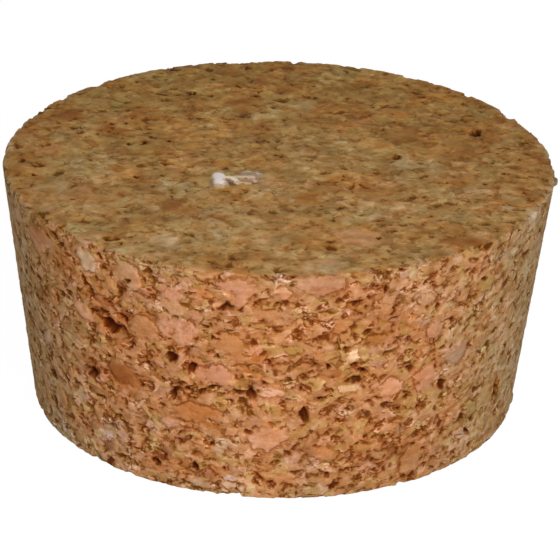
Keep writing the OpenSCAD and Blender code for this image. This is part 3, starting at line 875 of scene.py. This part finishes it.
def bake_uv(mesh, points, top_quads, quads):
    """One UV layout for baking: the two caps as discs side by side, and the wall in strips under them."""
    layer = mesh.uv_layers.new(name="OFBake")
    corner = points[quads]
    uv = np.zeros((len(quads), 4, 2))
    top_r, bottom_r = 0.5 * TOP_D * UV_PER_MM, 0.5 * BOTTOM_D * UV_PER_MM
    top_at = np.array([UV_MARGIN + top_r, 1 - UV_MARGIN - top_r])
    bottom_at = np.array([1 - UV_MARGIN - bottom_r, 1 - UV_MARGIN - bottom_r])
    top, bottom, wall = slice(top_quads), slice(top_quads, 2 * top_quads), slice(2 * top_quads, None)
    uv[top] = top_at + corner[top, :, :2] * UV_PER_MM
    uv[bottom] = bottom_at + corner[bottom, :, :2] * (UV_PER_MM, -UV_PER_MM)

    rows = (len(quads) - 2 * top_quads) // RING
    column = np.tile(np.arange(RING), rows)
    row = np.repeat(np.arange(rows), RING)
    down = np.concatenate([[0], np.cumsum(np.hypot(*np.diff(section_line(), axis=0).T))])
    per_strip = RING // STRIPS
    strip_height = (1 - 2 * UV_MARGIN - 2 * top_r) / STRIPS
    for k, (dc, dr) in enumerate(((0, 0), (0, 1), (1, 1), (1, 0))):
        across = (column % per_strip + dc) / per_strip
        below = down[row + dr] / down[-1]
        uv[wall, k, 0] = UV_MARGIN + across * (1 - 2 * UV_MARGIN)
        uv[wall, k, 1] = strip_height * (STRIPS - column // per_strip) \
            - UV_MARGIN - below * (strip_height - UV_MARGIN)
    layer.data.foreach_set("uv", uv.reshape(-1).astype(np.float32))


def relief_by_nodes(obj):
    """Runs the granule nodes over the mesh once, and gives the depth at each point, in mm."""
    group = bpy.data.node_groups.new("granule_relief", "GeometryNodeTree")
    group.interface.new_socket("Geometry", in_out="INPUT", socket_type="NodeSocketGeometry")
    group.interface.new_socket("Geometry", in_out="OUTPUT", socket_type="NodeSocketGeometry")
    net = Net(group)

    def field(name, kind="FLOAT"):
        return net.add("GeometryNodeInputNamedAttribute", {"Name": name}, data_type=kind)

    p = field("rest", "FLOAT_VECTOR")
    depth = relief(net, cork(net, p, field("face"), field("mark"), field("mark_seam")), p)
    values = {"Geometry": net.add("NodeGroupInput"), "Name": "depth", "Value": depth}
    stored = net.add("GeometryNodeStoreNamedAttribute", values, data_type="FLOAT", domain="POINT")
    net.wire(stored, group.nodes.new("NodeGroupOutput").inputs[0])
    modifier = obj.modifiers.new("relief", "NODES")
    modifier.node_group = group
    shown = obj.evaluated_get(bpy.context.evaluated_depsgraph_get())
    depth = get_floats(shown.data, "depth").astype(float)
    obj.modifiers.remove(modifier)
    bpy.data.node_groups.remove(group)
    return depth


def thin_out(obj):
    """Merges the triangles that lie nearly flat, until few enough are left."""
    modifier = obj.modifiers.new("thin_out", "DECIMATE")
    modifier.ratio = TRIANGLES / (2 * len(obj.data.polygons))
    graph = bpy.context.evaluated_depsgraph_get()
    dense = obj.data
    obj.data = bpy.data.meshes.new_from_object(obj.evaluated_get(graph), preserve_all_data_layers=True,
                                               depsgraph=graph)
    obj.modifiers.clear()
    bpy.data.meshes.remove(dense)
    obj.data.name = "stopper_cork"


def keep_in_box(mesh):
    """Puts back the points that thinning has moved past the solid's own box."""
    places = np.zeros(3 * len(mesh.vertices), np.float32)
    mesh.vertices.foreach_get("co", places)
    places = np.clip(places.reshape(-1, 3), *np.array(cad_box))
    mesh.vertices.foreach_set("co", places.ravel().astype(np.float32))
    mesh.update()


def make_stopper():
    """Lays the mesh out on the ideal solid, stores what the nodes need, then cuts and roughens it."""
    points, out, quads, top_quads = build_solid()
    now = points.copy()
    gap = np.full(len(points), -NEAR)
    mark, mark_seam, tone = mark_granules(
        points, wall_granules() + face_granules(on_top, TOP_D / 2, 300, LARGE_TOP_GRANULES)
        + face_granules(on_bottom, BOTTOM_D / 2, 400, []))

    mesh = bpy.data.meshes.new("stopper_cork")
    mesh.vertices.add(len(points))
    mesh.loops.add(4 * len(quads))
    mesh.polygons.add(len(quads))
    mesh.loops.foreach_set("vertex_index", quads.ravel().astype(np.int32))
    mesh.polygons.foreach_set("loop_start", np.arange(0, 4 * len(quads), 4, dtype=np.int32))
    mesh.vertices.foreach_set("co", (points * MM).ravel().astype(np.float32))
    mesh.update(calc_edges=True)
    bake_uv(mesh, points, top_quads, quads)
    obj = bpy.data.objects.new("stopper_cork", mesh)
    bpy.context.scene.collection.objects.link(obj)

    cut(points, now, gap, wall_cutters() + face_cutters(on_top, TOP_D / 2, 300, LARGE_TOP_GAPS)
        + face_cutters(on_bottom, BOTTOM_D / 2, 400, LARGE_BOTTOM_GAPS))
    no_gap = np.full(len(points), -NEAR)
    cut(points, now, no_gap, rim_cutters(TOP_C, TOP_RIM_R, 45, LARGE_TOP_CHIPS, 700)
        + rim_cutters(BOTTOM_C, BOTTOM_RIM_R, -45, LARGE_BOTTOM_CHIPS, 800))
    pale, olive = patchwork(points).T
    set_attribute(mesh, "rest", "FLOAT_VECTOR", points)
    for name, values in (("face", face_share(out)), ("gap", gap), ("mark", mark), ("mark_seam", mark_seam),
                         ("mark_tone", tone), ("pale", pale), ("olive", olive)):
        set_attribute(mesh, name, "FLOAT", values)
    depth = relief_by_nodes(obj)
    now -= depth[:, None] * out
    raise_crumbs(points, now)
    raise_fleck(points, now)
    mesh.vertices.foreach_set("co", (now * MM).ravel().astype(np.float32))
    mesh.polygons.foreach_set("use_smooth", np.ones(len(quads), bool))
    mesh.update()
    thin_out(obj)
    keep_in_box(obj.data)
    return obj


# -------------------- the cork material
def tone_ramp(net, value, where):
    """The colour of the tone that a number picks. where is 0 for the wall and 1 for the sliced faces."""
    node = net.tree.nodes.new("ShaderNodeValToRGB")
    ramp = node.color_ramp
    ramp.interpolation = "CONSTANT"
    start = 0.0
    for k, tone in enumerate(TONES.values()):
        stop = ramp.elements[k] if k < 2 else ramp.elements.new(start)
        stop.position = start
        stop.color = (*tone[where], 1.0)
        start += tone[-1]
    net.wire(value, node.inputs[0])
    return Value(net, node.outputs[0])


def granule_colour(net, p, c, mark_tone, olive):
    """The granule's colour at a point, before light and shade.

    olive is about 1 in an olive patch and -1 in a red one.
    """
    face, listed = c["face"], c["listed"]
    wall = net.mix_colour(0.35, tone_ramp(net, c["tone"], 0), WALL_MEAN)
    wall = net.mix_colour(0.84 * listed, wall, tone_ramp(net, mark_tone, 0))
    sliced = net.mix_colour(0.5, tone_ramp(net, c["tone"], 1), FACE_MEAN)
    sliced = net.mix_colour(listed, sliced, tone_ramp(net, mark_tone, 1))
    # Painted light: the sliced faces are lighter and cooler in front and browner behind, as the key light
    # falls off
    back = net.ramp01(net.split(p)[1], -25.0, 38.0)
    sliced = net.tinted(sliced, net.mix_colour(back, *FACE_LIGHT_FALLOFF_TINTS))
    colour = net.mix_colour(face, wall, sliced)

    # Painted light: the wall is pinker in front, where the warm key light falls, and tan and greyer at its
    # sides, where cooler light falls. It is a little tan under the top rim too, and wall and faces drift
    # between olive and orange
    under_rim = net.ramp01(0.0 - past_rim(net, p), 3.5, 0.8)
    tan = net.most(sideways(net, p), 0.4 * under_rim) * (1 - face)
    colour = net.mix_colour(0.45 * tan, colour, SIDE_LIGHT_TAN)
    colour = net.mix_colour(tan, colour, net.tinted(colour, SIDE_LIGHT_TINT))
    drift = net.signed_noise(p, 7.0, 7.0) + 0.7 * net.signed_noise(p, 2.6, 9.0)
    drift = drift * net.mix(face, 0.85, 1.5) - 0.8 * olive
    return net.tinted(colour, net.triple(1 + 0.05 * drift, 1 - 0.05 * drift, 1 - 0.17 * drift))


def granule_light(net, p, c, gap, pale):
    """How light the cork is at a point, beside its granule's own tone, with painted shade in its hollows and
    towards the faces' rims.

    gap is the distance inside a cut gap. pale is about 1 in a pale patch and -1 in a dark one.
    """
    face = c["face"]
    cloud = net.noise(net.vector("MULTIPLY", p, (1.0, 1.0, 1.6)), 1.6, detail=3.0, rough=0.6)
    patch = net.signed_noise(p, 4.5, 12.0, detail=3.0) + net.signed_noise(p, 2.2, 17.0, detail=1.0)
    grain = net.noise(p, 0.4, detail=1.0, rough=0.6)
    calm = net.mix(c["listed"], 1.0, 0.85)
    smooth = c["flat"] * net.mix(c["listed"], 0.5, 0.75)
    light = net.mix(face, 0.84, 0.88) + 0.22 * c["shade"]
    light *= 1 + 0.38 * calm * (cloud - 0.5)
    light *= 1 + net.mix(face, 0.16, 0.08) * (grain - 0.5)
    light *= 1 + net.mix(face, 0.06, 0.20) * patch
    light *= net.mix(smooth, 0.5 + c["grit"], 1.0)
    light *= 1 + 0.16 * pale

    # Painted shade: the sliced faces are a little darker towards the rim, more so behind, and towards both
    # sides, as the key light falls off across them
    x, y, _ = net.split(p)
    outer = net.ramp01(net.vector("LENGTH", net.triple(x, y, 0.0)), 20.0, 40.0)
    outer = outer * (0.5 + 0.5 * net.ramp01(y, -34.0, 4.0))
    light *= 1 - face * (0.07 * outer + 0.04 * net.ramp01(abs(x), 6.0, 36.0))

    # Growth layers, level in most granules and steep in the others
    steep, level = (net.noise(warped(net, net.vector("MULTIPLY", p, stretch), 2.0, 0.8), 0.8)
                    for stretch in ((2.2, 2.2, 0.6), (0.5, 0.5, 2.6)))
    layers = net.mix(c["shade"] < 0.65, steep, level)
    light *= 1 + 0.3 * calm * (layers - 0.5)

    # Pale torn lips stand up, pale as torn fibre and as a painted highlight. Cracks, joints, pits, seams,
    # the gaps left by lost grains and the cut gaps are darker, partly as darker cork and partly as painted
    # shade in the hollows
    light *= 1 + c["lip"] * net.mix(face, 0.45, 0.2)
    dark = {name: c[name] * net.mix(face, *values) for name, values in TORN_DARK_AND_SHADE.items()}
    torn = net.most(dark["joint"], dark["crack"])
    torn = torn + (1 - torn) * dark["pit"]
    torn = net.most(net.most(torn, dark["wide_seam"]), dark["hole"])
    ragged_gap = gap + 1.4 * (net.noise(p, 0.9, detail=3.0) - 0.5)
    gap_shade = net.ramp01(ragged_gap, -0.3, 0.3) * net.mix(face, 0.48 + 0.6 * c["grit"], 0.84)
    return light * (1 - net.most(torn, gap_shade))


def fleck_strokes(net, p):
    """How much of each stroke of the fleck shows at a point, and its colour. Strands have firm edges."""
    flat = net.vector("SUBTRACT", net.vector("MULTIPLY", p, (1, 1, 0)), (*FLECK_AT, 0))
    flat = net.vector("SCALE", warped(net, flat, 0.7, 0.5), scale=1 / FLECK_LENGTH)
    fibre = net.noise(p, 0.5) - 0.5
    strands = [(a, b, half_width, colour)
               for (a, b, half_width, _), colour in zip(FLECK_STRANDS, FLECK_COLOURS)]
    for strokes, fray, (low, high) in ((FLECK_SHADOWS_AND_STAINS, 0.22, (-0.3, 0.75)), (strands, 0.1, (0.05, 0.5)),
                                       (FLECK_SHADE_AND_TUFTS, 0.22, (-0.3, 0.75))):
        for a, b, half_width, colour in strokes:
            along = np.array([b[0] - a[0], b[1] - a[1], 0])
            from_a = net.vector("SUBTRACT", flat, (*a, 0))
            share = net.vector("DOT_PRODUCT", from_a, tuple(along / (along @ along)))
            share = net.add("ShaderNodeClamp", {"Value": share})
            apart = net.vector("DISTANCE", from_a, net.vector("SCALE", tuple(along), scale=share))
            yield net.ramp01(apart + fray * fibre, half_width * (1 - low), half_width * (1 - high)), colour


def with_fleck_and_crumbs(net, p, c, colour):
    on_top = net.split(p)[2] > HEIGHT - TOP_BAND
    for shown, stroke in fleck_strokes(net, p):
        colour = net.mix_colour(shown * on_top, colour, stroke)
    ragged = 1.8 * (net.noise(p, 0.9, detail=3.0) - 0.5)
    brown = net.mix_colour(c["tone"], CRUMB_COLOUR, colour)
    for angle, share, length, *_ in CRUMBS:
        off = net.vector("DISTANCE", p, tuple(on_wall(angle, share * HEIGHT).to_translation()))
        colour = net.mix_colour(net.ramp01(off + ragged, 0.65 * length, 0.3 * length), colour, brown)
    return colour


def cork_material():
    material = bpy.data.materials.new("cork")
    material.use_nodes = True
    shader = material.node_tree.nodes["Principled BSDF"]
    net = Net(material.node_tree)

    def field(name, out=2):
        return net.add("ShaderNodeAttribute", out=out, attribute_name=name)

    p = field("rest", 1)
    rim_noise = 2.4 * (net.noise(p, 1.6, detail=3.0) - 0.5)
    face = net.ramp01(past_rim(net, p) + rim_noise, 0.25, 0.7) * (1 - bitten(net, p))
    c = cork(net, p, face, field("mark"), field("mark_seam"))
    uneven = 0.5 + net.noise(p, 2.0, detail=3.0)
    colour = granule_colour(net, p, c, field("mark_tone"), field("olive") * uneven)
    light = granule_light(net, p, c, field("gap"), field("pale") * uneven)

    # Where the cork is darker, and where shade is painted in its hollows, it is redder as well, as light
    # that has passed through cork is
    tint = net.triple(light, light ** net.mix(face, 1.56, 1.4), light ** net.mix(face, 2.5, 2.2))
    colour = with_fleck_and_crumbs(net, p, c, net.tinted(colour, tint))
    net.wire(colour, shader.inputs["Base Color"])
    net.wire(0.78 + 0.2 * c["grit"], shader.inputs["Roughness"])
    shader.inputs["Specular IOR Level"].default_value = 0.1

    # Fine relief that the mesh is too coarse for, in mm
    fine = 0.12 * net.noise(p, 0.5, detail=3.0, rough=0.65) + 0.5 * c["grit"]
    fine = fine - (0.16 * c["joint"] + 0.25 * c["crack"]) - 0.2 * c["pit"]
    height = fine * net.mix(face, 1.0, 0.35)
    bump = net.add("ShaderNodeBump", {"Strength": 0.45, "Distance": MM, "Height": height})
    net.wire(bump, shader.inputs["Normal"])
    return material


# -------------------- camera, light and floor
IMAGE_PX = 560
FOCAL_PX = 3234.0          # from the fit of both rims
ELEVATION = 25.09
ROLL = 1.52
DISTANCE = 495.0
AXIS_PX = (276.1, 273.8)   # where the middle of the stopper's axis falls in the picture


def make_camera():
    e = math.radians(ELEVATION)
    basis = Matrix(((1, 0, 0), (0, math.sin(e), -math.cos(e)), (0, math.cos(e), math.sin(e)))).to_4x4()
    basis = basis @ Matrix.Rotation(math.radians(ROLL), 4, "Z")
    per_px = DISTANCE / FOCAL_PX
    right, up, back = (basis.col[k].to_3d() for k in range(3))
    middle = Vector((0, 0, HEIGHT / 2))
    aim = middle + right * (IMAGE_PX / 2 - AXIS_PX[0]) * per_px - up * (IMAGE_PX / 2 - AXIS_PX[1]) * per_px
    data = bpy.data.cameras.new("camera")
    data.sensor_width = 36.0
    data.lens = FOCAL_PX / IMAGE_PX * data.sensor_width
    data.clip_start = 0.01
    camera = bpy.data.objects.new("camera", data)
    camera.matrix_world = Matrix.Translation((aim + back * DISTANCE) * MM) @ basis
    bpy.context.scene.collection.objects.link(camera)
    bpy.context.scene.camera = camera


def area_light(name, azimuth, elevation, distance, size, power):
    """A square soft light that looks at the stopper. Azimuth 0 is the camera's side, and 90 the right."""
    data = bpy.data.lights.new(name, "AREA")
    data.size = size
    data.energy = power
    light = bpy.data.objects.new(name, data)
    a, e = math.radians(azimuth), math.radians(elevation)
    way = Vector((math.sin(a) * math.cos(e), -math.cos(a) * math.cos(e), math.sin(e)))
    place = way * distance
    place.z += HEIGHT / 2 * MM
    light.location = place
    light.rotation_euler = way.to_track_quat("Z", "Y").to_euler()
    bpy.context.scene.collection.objects.link(light)


def seen_directly(net):
    """1 for camera, mirror and glass rays, which see the white background."""
    camera, glossy, through = (net.add("ShaderNodeLightPath", out=kind)
                               for kind in ("Is Camera Ray", "Is Glossy Ray", "Is Transmission Ray"))
    return net.most(net.most(camera, glossy), through)


def make_world(level):
    world = bpy.data.worlds.new("studio")
    bpy.context.scene.world = world
    world.use_nodes = True
    net = Net(world.node_tree)
    background = world.node_tree.nodes["Background"]
    net.wire(net.mix(seen_directly(net), level, 1.0), background.inputs["Strength"])
    background.inputs["Color"].default_value = (1, 1, 1, 1)


def make_floor():
    """A pale floor that takes the stopper's shadow, and that the camera sees nearly white."""
    bpy.ops.mesh.primitive_plane_add(size=6.0, location=(0, 0, 0))
    floor = bpy.context.object
    floor.name = "floor"
    material = bpy.data.materials.new("floor_white")
    material.use_nodes = True
    tree = material.node_tree
    tree.nodes.remove(tree.nodes["Principled BSDF"])
    net = Net(tree)
    matt = net.add("ShaderNodeBsdfDiffuse", {"Color": (0.85, 0.85, 0.85, 1)})
    white = net.add("ShaderNodeEmission", {"Color": (1, 1, 1, 1), "Strength": 1.03})
    both = net.add("ShaderNodeMixShader", {0: 0.95 * seen_directly(net), 1: matt, 2: white})
    net.wire(both, tree.nodes["Material Output"].inputs["Surface"])
    floor.data.materials.append(material)


# -------------------- the scene
stopper = make_stopper()
stopper.data.materials.append(cork_material())
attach(stopper, "root")
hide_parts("stopper")

make_floor()
make_world(0.24)
area_light("key", azimuth=10, elevation=31, distance=0.40, size=0.2, power=1.12)
area_light("back_fill", azimuth=180, elevation=12, distance=0.8, size=0.5, power=2.0)
make_camera()
bpy.context.scene.view_settings.view_transform = "Standard"
